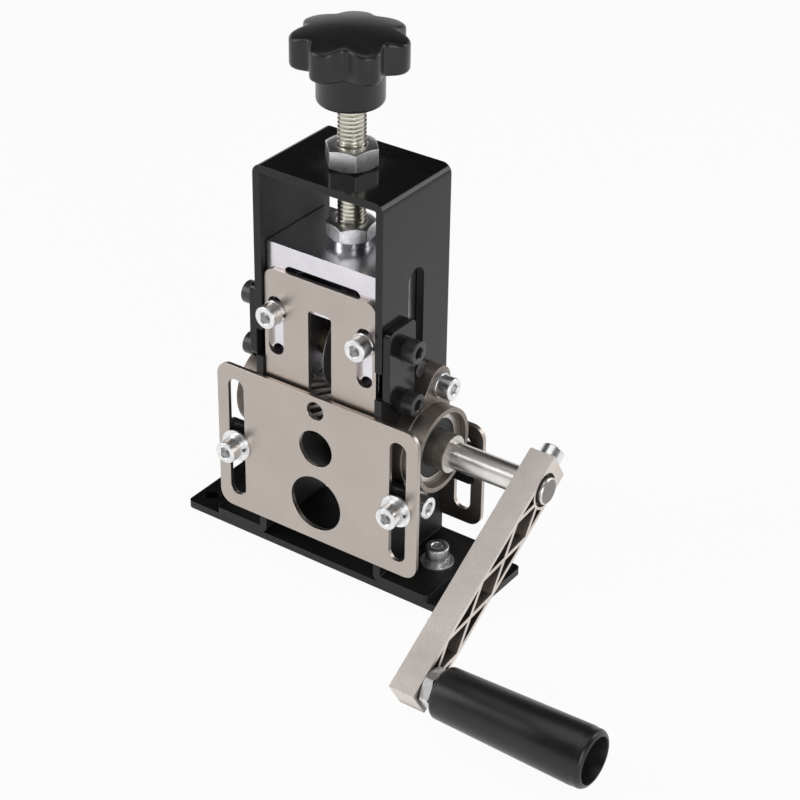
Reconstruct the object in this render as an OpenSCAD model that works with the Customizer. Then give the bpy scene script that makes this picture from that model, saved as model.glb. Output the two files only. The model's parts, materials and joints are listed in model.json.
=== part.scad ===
// Hand crank wire stripper for a bench.
// Millimetres. The origin is the centre of the base plate's underside. X runs along
// the drive shaft towards the crank, Y is the way the wire travels, Z is up.

/* [Base plate] */
// Reach of the base plate beyond each foot
base_over = 14.5; // [10:0.5:20]
// Distance of the base plate's long edges inside the frame's edges
base_inset = 0.5; // [0:0.1:1.5]
// Thickness of the base plate
base_t = 3; // [2:0.5:6]
// Corner radius of the base plate
base_corner_r = 2; // [0.5:0.5:4]
// Diameter of the four bench bolt holes
base_hole_d = 5.8; // [4:0.1:6.5]
// Distance of the bench bolt holes from the base plate's ends
base_hole_in_x = 5.5; // [4.5:0.1:6.5]
// Distance of the bench bolt holes from the base plate's long edges
base_hole_in_y = 8; // [5:0.5:12]

/* [Frame] */
// Outside width of the frame over its two legs
frame_w = 55; // [53:0.5:60]
// Depth of the frame's sheet along Y
frame_d = 40; // [39:0.5:46]
// Height of the frame above the base plate
frame_h = 152.5; // [150:0.5:165]
// Thickness of the frame's sheet
sheet_t = 3; // [2.5:0.1:3.4]
// Inside radius of the sheet's bends
bend_in_r = 0.6; // [0.3:0.1:1.5]
// Length of each foot beyond its leg
foot_len = 21; // [19:0.5:26]
// Distance of the foot screws from the end of their feet
foot_screw_in = 9.5; // [8:0.5:11]
// Length of the foot screws under the head
foot_screw_len = 8; // [5:0.5:8]
// Corner radius of the feet
foot_corner_r = 2; // [0.5:0.5:4]
// Width of the vertical slot in each leg for the blade axle
leg_slot_w = 9.2; // [7:0.1:10]
// Distance of that slot's upper end below the frame's top
leg_slot_drop = 31.5; // [25:0.5:35]
// Height of the notch through which the axle enters each leg
notch_h = 11; // [9:0.5:12]
// Distance of the notch's floor below the blade axle
notch_drop = 4.8; // [4:0.1:5.5]
// Diameter of the hole in each leg for the shaft
shaft_hole_d = 17; // [15:0.5:20]
// Diameter of the hole in the frame's top for the stud
stud_hole_d = 10.8; // [10.6:0.1:12]

/* [Guide ears] */
// Reach of each ear beyond its leg
ear_len = 15.5; // [14:0.5:18]
// Height of each ear
ear_h = 16; // [13:0.5:18]
// Corner radius of the ears
ear_corner_r = 3; // [1:0.5:3]

/* [Cap screws] */
// Thread diameter of the silver and black cap screws
screw_d = 5; // [4.5:0.1:5.4]
// Head diameter of the cap screws
screw_head_d = 8.5; // [8:0.1:9]
// Head height of the cap screws
screw_head_h = 5; // [4:0.1:5.5]
// Width across flats of the hexagon socket
socket_af = 4; // [3:0.1:5]
// Depth of the hexagon socket
socket_depth = 2.6; // [1.5:0.1:3.5]
// Outside diameter of the spring washers
spring_washer_d = 9.2; // [8.8:0.1:10]
// Thickness of the spring washers
spring_washer_t = 1.2; // [0.8:0.1:1.6]
// Outside diameter of the flat washers
flat_washer_d = 12.5; // [11:0.1:13]
// Thickness of the flat washers
flat_washer_t = 1; // [0.6:0.1:1.5]
// Play between a screw and the plain hole of its washer
washer_play = 0.2; // [0.1:0.05:0.3]

/* [Guide plates] */
// Reach of the front and rear guide plates beyond each leg
guide_over = 17; // [16:0.5:19.5]
// Height of the front guide plate
guide_h = 61; // [58:0.5:66]
// Height of the rear guide plate
rear_guide_h = 43; // [40:0.5:46]
// Thickness of the guide plates
guide_t = 1.8; // [1.2:0.1:2.5]
// Corner radius of the guide plates
guide_corner_r = 5.5; // [2:0.5:7]
// Distance of the guide plates' lower edge below the shaft
guide_drop = 43.1; // [42:0.1:44]
// Length of the guide screws under the head
guide_screw_len = 8; // [6:0.5:9]
// Distance of each slot and its screw beyond the leg
guide_slot_out = 8.5; // [7.5:0.1:9.5]
// Width of the slots
guide_slot_w = 7; // [6:0.1:7.5]
// Margin between the ends of a slot and the plate's edges
guide_slot_margin = 5.6; // [5:0.1:7]
// Distance of the guide screws below the shaft
guide_screw_drop = 15.5; // [15:0.1:17]
// Diameter of the small wire hole
small_hole_d = 7.2; // [5:0.1:9]
// Height of the small wire hole above the plate's lower edge
small_hole_up = 55.2; // [54.5:0.1:55.5]
// Diameter of the middle wire hole
middle_hole_d = 14.5; // [11:0.1:16]
// Height of the middle wire hole above the plate's lower edge
middle_hole_up = 39.4; // [38:0.1:40]
// Diameter of the large wire hole
large_hole_d = 22; // [18:0.5:24]
// Height of the large wire hole above the plate's lower edge
large_hole_up = 15.9; // [15:0.1:18]

/* [Drive shaft and roller] */
// Height of the shaft above the base plate, as a share of the frame's height
shaft_share = 0.341; // [0.335:0.001:0.347]
// Diameter of the drive shaft
shaft_d = 10; // [9.5:0.1:10.4]
// Reach of the shaft beyond the left collar
shaft_out_left = 1.8; // [1:0.1:6]
// Reach of the shaft beyond the crank arm
shaft_out_right = 1.6; // [1:0.1:3]
// Outside diameter of the feed roller
roller_d = 24; // [22:0.5:25]
// Gap between the roller's grooved part and each leg
roller_gap = 8.5; // [7:0.5:12]
// Diameter of the roller's hub
hub_d = 18; // [17:0.5:20]
// Length of the roller's hub
hub_w = 6.5; // [6:0.1:7]
// Diameter of the set screws in the hub
hub_screw_d = 4; // [3:0.1:5]
// Number of grooves round the roller
flutes = 20; // [12:1:24]
// Depth of the grooves
flute_depth = 0.9; // [0.5:0.1:1.2]
// Slant of the grooves against the shaft
flute_tilt = 14; // [0:1:16]

/* [Bearing units] */
// Distance between the two bolts of a bearing unit
flange_pitch = 45; // [44:0.5:47]
// Lean of the line through the two bolts from the vertical
flange_lean = 18.4; // [16:0.1:20]
// Thickness of the flange
flange_t = 6; // [4.5:0.1:6.2]
// Radius of the flange round each bolt
flange_end_r = 6.8; // [6:0.1:7]
// Radius of the flange round the boss
flange_mid_r = 16.4; // [16.3:0.1:17]
// Radius round the shaft at which the flange's straight sides aim
flange_waist_r = 13.8; // [12:0.1:14]
// Diameter of the housing's round boss
boss_d = 32; // [31:0.1:32.6]
// Height of the boss above the leg
boss_h = 13; // [12:0.1:14]
// Diameter of the mouth of the housing
mouth_d = 28.4; // [27.5:0.1:29]
// Outside diameter of the bearing
bearing_d = 26; // [25.5:0.1:26.5]
// Width of the bearing's outer ring
bearing_w = 8; // [7:0.1:8.5]
// Wall of the bearing's outer ring
bearing_wall = 1.8; // [1.6:0.1:2.2]
// Thickness of the housing's lip behind the bearing
lip_t = 2; // [1.5:0.1:2.4]
// Thickness of the bearing's seals
seal_t = 0.8; // [0.4:0.1:1]
// Distance of the seals inside the outer ring's faces
seal_in = 0.5; // [0.2:0.1:0.6]
// Length of the bearing bolts under the head
bearing_bolt_len = 10; // [8:0.1:10.1]
// Diameter of the bearing's inner ring and its collar
collar_d = 14; // [13.5:0.1:15]
// Reach of the collar beyond the boss
collar_out = 4.2; // [3.8:0.1:5]
// Diameter of the set screws in the collar
collar_screw_d = 3; // [2:0.1:3.4]
// Number of balls in each bearing
ball_count = 8; // [6:1:9]
// Diameter of the balls
ball_d = 4.4; // [4:0.1:4.6]

/* [Blade] */
// Diameter of the round blade
blade_d = 34; // [31:0.5:35]
// Thickness of the blade
blade_t = 2; // [1:0.1:3]
// Width of the ground bevel at the blade's rim
blade_bevel = 3; // [1.5:0.1:5]
// Gap between the blade and the roller
blade_gap = 0.8; // [0.6:0.1:2]
// Diameter of the blade axle
axle_d = 6; // [5.5:0.1:6.5]
// Distance of the axle's ends inside the side plates' outer faces
axle_inset = 0.2; // [0:0.1:0.5]
// Diameter of the blade's bush
bush_d = 14; // [11:0.5:18]

/* [Slider block] */
// Distance of the block's faces inside the frame's edges
block_inset = 3; // [2.5:0.1:4]
// Height of the block
block_h = 48.2; // [47:0.1:50]
// Height of the axle above the block's lower face
axle_up = 7.3; // [6:0.1:8]
// Gap between the block and each leg
slide_clear = 0.3; // [0.2:0.05:0.6]
// Gap over the blade inside its slot in the block
blade_over = 1.2; // [0.8:0.1:2]
// Width of the slot in the block that the blade turns in
blade_slot_w = 10.4; // [9:0.1:11]
// Wall of the block beside the nut's pocket
pocket_wall = 7.95; // [6:0.05:11]
// Height of the nut's pocket
pocket_h = 8.4; // [7.5:0.1:9]
// Distance of the pocket's ceiling below the block's top
pocket_drop = 7.4; // [6:0.1:8]
// Corner radius of the pocket
pocket_r = 2.5; // [1:0.1:3.5]

/* [Upper guide plate] */
// Height of the upper guide plate
upper_h = 50; // [46:0.5:52]
// Distance of its top edge below the block's top
upper_drop = 9.3; // [8.5:0.1:12]
// Corner radius at the top
upper_corner_r = 4.5; // [1:0.5:6]
// Distance of its slots and screws from the plate's sides
upper_screw_in = 4.9; // [4.6:0.1:5.5]
// Width of its slots
upper_slot_w = 6.6; // [6:0.1:7]
// Length of its slots from end to end
upper_slot_l = 23.4; // [20:0.1:25]
// Distance of the slots' upper ends below the plate's top
upper_slot_drop = 10.6; // [10:0.1:12]
// Distance of the screws below the block's top
upper_screw_drop = 25.9; // [25:0.1:27]
// Distance between the upper and the lower thread in the block's face
block_thread_pitch = 16.4; // [15.5:0.1:17]
// Depth of the threaded holes in the block's face
block_thread_depth = 12; // [11:0.5:14]
// Length of the upper screws under the head
upper_screw_len = 10; // [8:0.5:11]
// Width of the fork's opening that straddles the wire
fork_w = 10; // [8:0.1:11]
// Distance of the opening's top below the plate's top
fork_drop = 11.2; // [10.5:0.1:14]

/* [Side plates] */
// Gap between the side plates and the blade axle
side_gap = 1; // [0.8:0.1:2]
// Height of the side plates' top above the blade axle
side_top_up = 22.6; // [20:0.1:24]
// Height of the side plates' straight part
side_h = 28.5; // [26:0.1:30]
// Radius of their lower end round the lower screw
side_end_r = 5; // [4.5:0.1:5.4]
// Distance of the side plates behind the frame's front edge
side_inset = 0.5; // [0.3:0.1:1]
// Corner radius of the side plates
side_corner_r = 2.5; // [1:0.1:4]
// Distance of the side plate screws from the plates' rear edge
side_screw_in = 5; // [4.6:0.1:5.4]
// Height of the upper side plate screw above the blade axle
side_screw_up = 12.4; // [11:0.1:13]
// Distance of the lower side plate screw below the blade axle
side_screw_down = 8.6; // [8.2:0.1:8.8]
// Length of the side plate screws under the head
side_screw_len = 5.8; // [5:0.1:5.9]
// Distance that the left side plate's screws stand off it
side_screw_proud = 4.1; // [0:0.1:5]

/* [Adjusting screw] */
// Diameter of the threaded stud
stud_d = 10; // [9.5:0.1:10.4]
// Width across flats of the nut on top of the frame
top_nut_af = 17; // [16:0.5:19]
// Height of the nut on top of the frame
top_nut_h = 7.7; // [6:0.1:9]
// Width across flats of the nuts that hold the block
block_nut_af = 16; // [15:0.5:17]
// Height of the nut above the block
lower_nut_h = 6; // [4:0.1:7]
// Diameter of the round collar under that nut
thrust_collar_d = 13.4; // [12.5:0.1:15]
// Height of the round collar
thrust_collar_h = 2.6; // [1.5:0.1:3]
// Height of the nut inside the pocket
pocket_nut_h = 5; // [4:0.1:5.4]
// Length of the stud below the nut in the pocket
stud_tip = 1.5; // [0.5:0.1:2]
// Turn of the nut on top of the frame
top_nut_turn = 14.4; // [0:0.1:60]
// Turn of the nut above the block
lower_nut_turn = 41.4; // [0:0.1:60]

/* [Knob] */
// Diameter over the knob's lobes
knob_d = 41; // [40.5:0.5:44]
// Number of lobes
knob_lobes = 7; // [5:1:9]
// Depth of the valleys between the lobes
knob_valley = 4.4; // [3:0.1:5]
// Height of the lobed head
knob_head_h = 13.5; // [11:0.1:15]
// Height of the whole knob
knob_h = 27; // [24:0.5:30]
// Diameter of the knob's hub
knob_hub_d = 23.6; // [22:0.1:25]
// Distance of the knob above the nut on the frame
knob_up = 15.3; // [10:0.1:20]
// Height of the knob's domed top over its lobes' tips
knob_dome = 3; // [1:0.1:4.5]
// Slant cut round the lower edge of the lobed head
knob_edge = 1.1; // [0.5:0.1:1.3]
// Depth of the stud's hole in the knob
knob_bore = 15; // [12:0.5:18]
// Turn of the first lobe
knob_turn = 16.1; // [0:0.1:50]

/* [Crank] */
// Distance from the shaft to the handle
crank_r = 80; // [76:0.5:84]
// Drop of the crank below the horizontal as it stands at rest
crank_drop = 31.5; // [25:0.5:33]
// Height of the crank arm's section
arm_h = 13; // [12.5:0.1:15]
// Thickness of the crank arm along the shaft
arm_t = 10; // [9:0.1:11]
// Gap between the right collar and the crank arm
arm_gap = 28.3; // [20:0.1:35]
// Length of the arm beyond the shaft
arm_end_top = 10.4; // [9.5:0.1:12]
// Length of the arm beyond the handle
arm_end_low = 7.6; // [7.3:0.1:9]
// Thickness of the rails along the recess
arm_rail = 1.5; // [1:0.1:2]
// Thickness of the crossed ribs
arm_rib = 1.5; // [1:0.1:2]
// Depth of the recess
arm_recess = 5; // [2:0.1:6]
// Number of crossings from the hub to the handle
arm_cells = 3; // [2:1:5]
// Depth of the ring groove round the shaft's end
arm_groove = 1.6; // [0.5:0.1:2]
// Width of that ring groove
arm_groove_w = 1.3; // [0.6:0.1:1.5]

/* [Handle] */
// Diameter of the handle bolt
bolt_d = 8; // [7.5:0.1:8.5]
// Head diameter of the handle bolt
bolt_head_d = 13; // [12:0.1:13.5]
// Head height of the handle bolt
bolt_head_h = 8; // [6:0.1:9]
// Width across flats of the handle nut
handle_nut_af = 13; // [12.5:0.1:14]
// Height of the handle nut
handle_nut_h = 4.4; // [3.5:0.1:6.5]
// Diameter of the grip next to the nut
grip_d0 = 18.6; // [17:0.1:20]
// Diameter of the grip at its open end
grip_d1 = 21.2; // [20:0.1:22]
// Length of the grip
grip_len = 59.5; // [50:0.5:70]
// Diameter of the grip's open mouth
grip_mouth_d = 16.4; // [15:0.1:17]
// Depth of the grip's open mouth
grip_mouth_depth = 22; // [16:0.5:30]
// Edge radius of the grip
grip_edge_r = 2; // [0.5:0.1:2.4]

/* [Fits] */
// Gap between a screw and the thread that holds it
thread_play = 0.05; // [0.02:0.01:0.08]
// Radial gap of a piece that turns on a shaft
running_play = 0.05; // [0.02:0.01:0.08]
// Gap between a turning piece and the face beside it
side_play = 0.3; // [0.2:0.05:0.4]

/* [Hidden] */
$fn = 48;

// One overrun for every cut that breaks through a face
cut = 1;
// Share of a screw's diameter that its end chamfer takes
screw_chamfer_share = 0.1;
// Share of a nut's half width at which its corner chamfer starts
nut_chamfer_share = 0.97;
// Share of the corner chamfer's width that it is high
nut_slope_share = 0.75;
// Share of a washer's thickness that its split is wide
split_share = 0.6;
// Shares of the crank's radius at which the crossed ribs start and end
rib_start_share = 0.06;
rib_end_share = 0.956;
// Share that narrows the knob's valleys
valley_share = 1.5;
// Points along the outline of one lobe
lobe_points = 12;
// Steps of a rounded edge in a turned outline
edge_steps = 6;

leg_x = frame_w / 2;
leg_in_x = leg_x - sheet_t;
front_y = -frame_d / 2;
foot_end_x = leg_x + foot_len;
base_w = 2 * (foot_end_x + base_over);
base_d = frame_d - 2 * base_inset;
base_hole_pitch_x = base_w - 2 * base_hole_in_x;
base_hole_pitch_y = base_d - 2 * base_hole_in_y;
frame_top_z = base_t + frame_h;
foot_top_z = base_t + sheet_t;
bend_out_r = bend_in_r + sheet_t;
foot_screw_x = foot_end_x - foot_screw_in;
screw_hole_d = screw_d + 2 * thread_play;
washer_hole_d = screw_d + 2 * washer_play;

shaft_z = base_t + frame_h * shaft_share;
roller_w = 2 * (leg_in_x - roller_gap);
blade_z = shaft_z + roller_d / 2 + blade_gap + blade_d / 2;
axle_len = 2 * (leg_x + sheet_t - axle_inset);
leg_slot_top_z = frame_top_z - leg_slot_drop;
notch_z0 = blade_z - notch_drop;

block_w = 2 * (leg_in_x - slide_clear);
block_d = frame_d - 2 * block_inset;
pocket_w = block_w - 2 * pocket_wall;
block_z0 = blade_z - axle_up;
block_top_z = block_z0 + block_h;
block_front_y = -block_d / 2;
pocket_top_z = block_top_z - pocket_drop;
pocket_back_y = block_nut_af / sqrt(3) + side_play;
blade_slot_top_z = blade_z + blade_d / 2 + blade_over;

upper_top_z = block_top_z - upper_drop;
upper_front_y = block_front_y - guide_t;
upper_screw_x = block_w / 2 - upper_screw_in;
upper_screw_z = block_top_z - upper_screw_drop;

side_z1 = blade_z + side_top_up;
side_back_y = -axle_d / 2 - side_gap;
side_d = side_back_y - front_y - side_inset;
side_screw_y = side_back_y - side_screw_in;
side_screw_heights = [blade_z + side_screw_up, blade_z - side_screw_down];

guide_w = 2 * (leg_x + guide_over);
guide_slot_x = leg_x + guide_slot_out;
guide_z0 = shaft_z - guide_drop;
guide_screw_z = shaft_z - guide_screw_drop;
// Height and diameter of each wire hole
wire_holes = [[small_hole_up, small_hole_d], [middle_hole_up, middle_hole_d],
    [large_hole_up, large_hole_d]];
guide_face_y = frame_d / 2 + guide_t;

bearing_x0 = leg_x + lip_t;
bearing_mid_x = bearing_x0 + bearing_w / 2;
race_in_d = bearing_d - 2 * bearing_wall;
ball_track_r = (collar_d + race_in_d) / 4;
collar_x0 = leg_x + lip_t / 2;
collar_x1 = leg_x + boss_h + collar_out;
shaft_left = collar_x1 + shaft_out_left;

lower_nut_z0 = block_top_z + thrust_collar_h;
pocket_nut_z0 = pocket_top_z - side_play - pocket_nut_h;
knob_z0 = frame_top_z + top_nut_h + knob_up;

arm_out_x = collar_x1 + arm_gap + arm_t;
shaft_right = arm_out_x + shaft_out_right;
handle_y = -crank_r * cos(crank_drop);
handle_z = shaft_z - crank_r * sin(crank_drop);
grip_x0 = arm_out_x + handle_nut_h + side_play;
bolt_head_x = grip_x0 + grip_len - grip_mouth_depth + side_play;

// Outlines

// A rectangle with round corners
module rounded(size, r) {
    square([size.x - 2 * r, size.y], center = true);
    square([size.x, size.y - 2 * r], center = true);
    for (sx = [-1, 1], sy = [-1, 1])
        translate([sx * (size.x / 2 - r), sy * (size.y / 2 - r)])
            circle(r);
}

// An upright slot with round ends
module slot(length, width) {
    square([width, length - width], center = true);
    for (s = [-1, 1])
        translate([0, s * (length - width) / 2])
            circle(d = width);
}

// A quarter of a ring, in the first quadrant
module quarter_ring(r0, r1) {
    intersection() {
        difference() {
            circle(r1);
            circle(r0);
        }
        square(r1);
    }
}

// A bar of the given width from point p to point q
module bar(p, q, width) {
    translate(p)
        rotate(atan2(q.y - p.y, q.x - p.x))
            translate([0, -width / 2])
                square([norm(q - p), width]);
}

// The points of a round corner
function round_corner(centre, r, a0, a1) =
    [for (i = [0:edge_steps]) let (a = a0 + (a1 - a0) * i / edge_steps)
        [centre.x + r * cos(a), centre.y + r * sin(a)]];

// Directions

// An outline in Y and Z, drawn out along X
module along_x(x0, length) {
    translate([x0, 0, 0])
        rotate([90, 0, 90])
            linear_extrude(length)
                children();
}

// An outline in X and Z, drawn out along Y
module along_y(y0, length) {
    translate([0, y0 + length, 0])
        rotate([90, 0, 0])
            linear_extrude(length)
                children();
}

// A piece turned about Z, laid along X at the height of the shaft
module on_shaft(x = 0) {
    translate([x, 0, shaft_z])
        rotate([0, 90, 0])
            children();
}

// Both sides, left and right
module both_sides() {
    for (m = [0, 1])
        mirror([m, 0, 0])
            children();
}

// The two bolts of the right bearing unit, looking along X
module bearing_bolt_places(x) {
    for (s = [-1, 1])
        translate([x, s * flange_pitch / 2 * sin(flange_lean),
                shaft_z + s * flange_pitch / 2 * cos(flange_lean)])
            rotate([0, 90, 0])
                children();
}

// The two screws of the right side plate
module side_screw_places(x) {
    for (z = side_screw_heights)
        translate([x, side_screw_y, z])
            rotate([0, 90, 0])
                children();
}

// The two screws of the front guide plate, with the head towards the viewer
module guide_screw_places(y) {
    for (s = [-1, 1])
        translate([s * guide_slot_x, -y, guide_screw_z])
            rotate([90, 0, 0])
                children();
}

// The crank arm's own frame: X towards the handle, Z from the outer to the inner face
module in_arm() {
    translate([arm_out_x, 0, shaft_z])
        rotate([90 + crank_drop, 0, 0])
            rotate([0, -90, 0])
                children();
}

// Fasteners

module hexagon(af, h) {
    cylinder(d = af / cos(30), h = h, $fn = 6);
}

// A socket cap screw, its head's seat at zero
module cap_screw(length) {
    c = screw_d * screw_chamfer_share;
    r = screw_d / 2;
    head_r = screw_head_d / 2;
    difference() {
        rotate_extrude()
            polygon([[0, -length], [r - c, -length], [r, c - length], [r, 0], [head_r, 0],
                [head_r, screw_head_h - c], [head_r - c, screw_head_h], [0, screw_head_h]]);
        translate([0, 0, screw_head_h - socket_depth])
            hexagon(socket_af, socket_depth + cut);
    }
}

// A headless set screw, its point at zero
module set_screw(d, length) {
    difference() {
        cylinder(d = d, h = length);
        translate([0, 0, length / 2])
            hexagon(d / 2, length);
    }
}

module spring_washer() {
    split = spring_washer_t * split_share;
    difference() {
        cylinder(d = spring_washer_d, h = spring_washer_t);
        translate([0, 0, -cut])
            cylinder(d = washer_hole_d, h = spring_washer_t + 2 * cut);
        translate([0, -split / 2, -cut])
            cube([spring_washer_d, split, spring_washer_t + 2 * cut]);
    }
}

module flat_washer() {
    difference() {
        cylinder(d = flat_washer_d, h = flat_washer_t);
        translate([0, 0, -cut])
            cylinder(d = washer_hole_d, h = flat_washer_t + 2 * cut);
    }
}

// A hexagon nut with chamfered corners, standing on zero
module hex_nut(af, h, hole_d) {
    corner_r = af / 2 / cos(30);
    flat_r = af / 2 * nut_chamfer_share;
    drop = (corner_r - flat_r) * nut_slope_share;
    difference() {
        intersection() {
            hexagon(af, h);
            rotate_extrude()
                polygon([[0, 0], [flat_r, 0], [corner_r, drop], [corner_r, h - drop],
                    [flat_r, h], [0, h]]);
        }
        translate([0, 0, -cut])
            cylinder(d = hole_d, h = h + 2 * cut);
    }
}

// Base and frame

module base_plate() {
    color([0.06, 0.06, 0.065])
        difference() {
            linear_extrude(base_t)
                rounded([base_w, base_d], base_corner_r);
            for (sx = [-1, 1], sy = [-1, 1])
                translate([sx * base_hole_pitch_x / 2, sy * base_hole_pitch_y / 2, -cut])
                    cylinder(d = base_hole_d, h = base_t + 2 * cut);
            both_sides()
                translate([foot_screw_x, 0, -cut])
                    cylinder(d = screw_hole_d, h = base_t + 2 * cut);
        }
}

// The bent sheet seen from the front
module frame_outline() {
    for (m = [0, 1])
        mirror([m, 0]) {
            translate([leg_in_x, bend_out_r])
                square([sheet_t, frame_h - 2 * bend_out_r]);
            translate([leg_x - bend_out_r, frame_h - bend_out_r])
                quarter_ring(bend_in_r, bend_out_r);
            translate([0, frame_h - sheet_t])
                square([leg_x - bend_out_r, sheet_t]);
            translate([leg_x + bend_in_r, bend_out_r])
                rotate(180)
                    quarter_ring(bend_in_r, bend_out_r);
            translate([leg_x + bend_in_r, 0])
                square([foot_len - bend_in_r, sheet_t]);
        }
}

// A tab bent out of the leg's edge that carries a guide plate
module ear() {
    width = sheet_t + ear_len;
    along_y(front_y, sheet_t)
        translate([leg_in_x + width / 2, guide_screw_z])
            rounded([width, ear_h], ear_corner_r);
}

module frame() {
    leg_slot_l = leg_slot_top_z - notch_z0;
    through = frame_w + 2 * cut;
    color([0.07, 0.07, 0.075])
        difference() {
            union() {
                intersection() {
                    translate([0, 0, base_t])
                        along_y(front_y, frame_d)
                            frame_outline();
                    linear_extrude(frame_top_z + cut)
                        rounded([2 * foot_end_x, frame_d], foot_corner_r);
                }
                both_sides()
                    for (n = [0, 1])
                        mirror([0, n, 0])
                            ear();
            }
            translate([0, 0, frame_top_z - sheet_t - cut])
                cylinder(d = stud_hole_d, h = sheet_t + 2 * cut);
            along_x(-through / 2, through)
                translate([0, notch_z0 + leg_slot_l / 2])
                    slot(leg_slot_l, leg_slot_w);
            along_x(-through / 2, through)
                translate([front_y - cut, notch_z0])
                    square([frame_d / 2 + cut, notch_h]);
            on_shaft(-through / 2)
                cylinder(d = shaft_hole_d, h = through);
            both_sides() {
                bearing_bolt_places(leg_in_x - cut)
                    cylinder(d = screw_hole_d, h = sheet_t + 2 * cut);
                side_screw_places(leg_in_x - cut)
                    cylinder(d = screw_hole_d, h = sheet_t + 2 * cut);
                translate([foot_screw_x, 0, base_t - cut])
                    cylinder(d = washer_hole_d, h = sheet_t + 2 * cut);
            }
            for (n = [0, 1])
                mirror([0, n, 0])
                    guide_screw_places(frame_d / 2 - sheet_t - cut)
                        cylinder(d = screw_hole_d, h = sheet_t + 2 * cut);
        }
}

module foot_flat_washers() {
    color([0.75, 0.75, 0.73])
        both_sides()
            translate([foot_screw_x, 0, foot_top_z])
                flat_washer();
}

module foot_spring_washers() {
    color([0.7, 0.7, 0.68])
        both_sides()
            translate([foot_screw_x, 0, foot_top_z + flat_washer_t])
                spring_washer();
}

module foot_screws() {
    color([0.8, 0.8, 0.78])
        both_sides()
            translate([foot_screw_x, 0, foot_top_z + flat_washer_t + spring_washer_t])
                cap_screw(foot_screw_len);
}

// The plate that bridges the notch in the right leg
module side_plate() {
    low_z = side_screw_heights[1];
    color([0.05, 0.05, 0.055])
        difference() {
            along_x(leg_x, sheet_t) {
                translate([front_y + side_inset + side_d / 2, side_z1 - side_h / 2])
                    rounded([side_d, side_h], side_corner_r);
                translate([side_screw_y, low_z])
                    circle(side_end_r);
                translate([side_screw_y - side_end_r, low_z])
                    square([2 * side_end_r, side_z1 - side_h / 2 - low_z]);
            }
            side_screw_places(leg_x - cut)
                cylinder(d = washer_hole_d, h = sheet_t + 2 * cut);
        }
}

module side_plate_left() {
    mirror([1, 0, 0])
        side_plate();
}

module side_plate_right() {
    side_plate();
}

module side_plate_screws() {
    color([0.04, 0.04, 0.045]) {
        side_screw_places(leg_x + sheet_t)
            cap_screw(side_screw_len);
        mirror([1, 0, 0])
            side_screw_places(leg_x + sheet_t + side_screw_proud)
                cap_screw(side_screw_len + side_screw_proud);
    }
}

// Bearing units

// The rhombic flange round the shaft, its bolts along X
module flange_outline() {
    half = flange_pitch / 2;
    lean = acos((flange_waist_r - flange_end_r) / half);
    side = [cos(lean), sin(lean)];
    down = [side.x, -side.y];
    for (m = [0, 1])
        mirror([m, 0])
            difference() {
                union() {
                    circle(flange_mid_r);
                    translate([half, 0])
                        circle(flange_end_r);
                    polygon([[0, 0], flange_waist_r * side, [half, 0] + flange_end_r * side,
                        [half, 0] + flange_end_r * down, flange_waist_r * down]);
                }
                translate([half, 0])
                    circle(d = washer_hole_d);
            }
}

module bearing_housing() {
    color([0.42, 0.38, 0.34])
        difference() {
            union() {
                along_x(leg_x, flange_t)
                    translate([0, shaft_z])
                        rotate(90 - flange_lean)
                            flange_outline();
                on_shaft(leg_x)
                    cylinder(d = boss_d, h = boss_h);
            }
            on_shaft(leg_x - cut)
                cylinder(d = race_in_d, h = boss_h + 2 * cut);
            on_shaft(bearing_x0)
                cylinder(d = bearing_d + 2 * thread_play, h = boss_h);
            on_shaft(bearing_x0 + bearing_w)
                cylinder(d = mouth_d, h = boss_h);
        }
}

module bearing_housing_left() {
    mirror([1, 0, 0])
        bearing_housing();
}

module bearing_housing_right() {
    bearing_housing();
}

// The track of the balls, in the outline of a ring
module ball_track() {
    translate([ball_track_r, bearing_mid_x])
        circle(ball_d / 2 + running_play);
}

module bearing_outer_rings() {
    color([0.62, 0.6, 0.57])
        both_sides()
            on_shaft()
                rotate_extrude()
                    difference() {
                        translate([race_in_d / 2, bearing_x0])
                            square([bearing_wall, bearing_w]);
                        ball_track();
                    }
}

module bearing_inner_rings() {
    bore_r = shaft_d / 2 + thread_play;
    color([0.55, 0.52, 0.48])
        both_sides()
            difference() {
                on_shaft()
                    rotate_extrude()
                        difference() {
                            translate([bore_r, collar_x0])
                                square([collar_d / 2 - bore_r, collar_x1 - collar_x0]);
                            ball_track();
                        }
                collar_screw_places()
                    cylinder(d = collar_screw_d + 2 * thread_play, h = collar_d);
            }
}

// The set screws in the right collar, pointing at the shaft
module collar_screw_places() {
    for (a = [0, 120])
        on_shaft(collar_x1 - collar_out / 2)
            rotate([0, 0, a])
                rotate([0, 90, 0])
                    children();
}

module bearing_set_screws() {
    color([0.12, 0.12, 0.12])
        both_sides()
            collar_screw_places()
                translate([0, 0, shaft_d / 2])
                    set_screw(collar_screw_d, (collar_d - shaft_d) / 2);
}

module bearing_seals() {
    outer_r = race_in_d / 2 - thread_play;
    inner_r = collar_d / 2 + running_play;
    color([0.08, 0.08, 0.085])
        both_sides()
            on_shaft()
                rotate_extrude()
                    for (x = [bearing_x0 + seal_in, bearing_x0 + bearing_w - seal_in - seal_t])
                        translate([inner_r, x])
                            square([outer_r - inner_r, seal_t]);
}

module bearing_balls() {
    color([0.8, 0.8, 0.8])
        both_sides()
            for (i = [0:ball_count - 1])
                on_shaft(bearing_mid_x)
                    rotate([0, 0, i * 360 / ball_count])
                        translate([ball_track_r, 0, 0])
                            sphere(d = ball_d);
}

module bearing_bolt_washers() {
    color([0.7, 0.7, 0.68])
        both_sides()
            bearing_bolt_places(leg_x + flange_t)
                spring_washer();
}

module bearing_bolts() {
    color([0.8, 0.8, 0.78])
        both_sides()
            bearing_bolt_places(leg_x + flange_t + spring_washer_t)
                cap_screw(bearing_bolt_len);
}

// Guide plates

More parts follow.
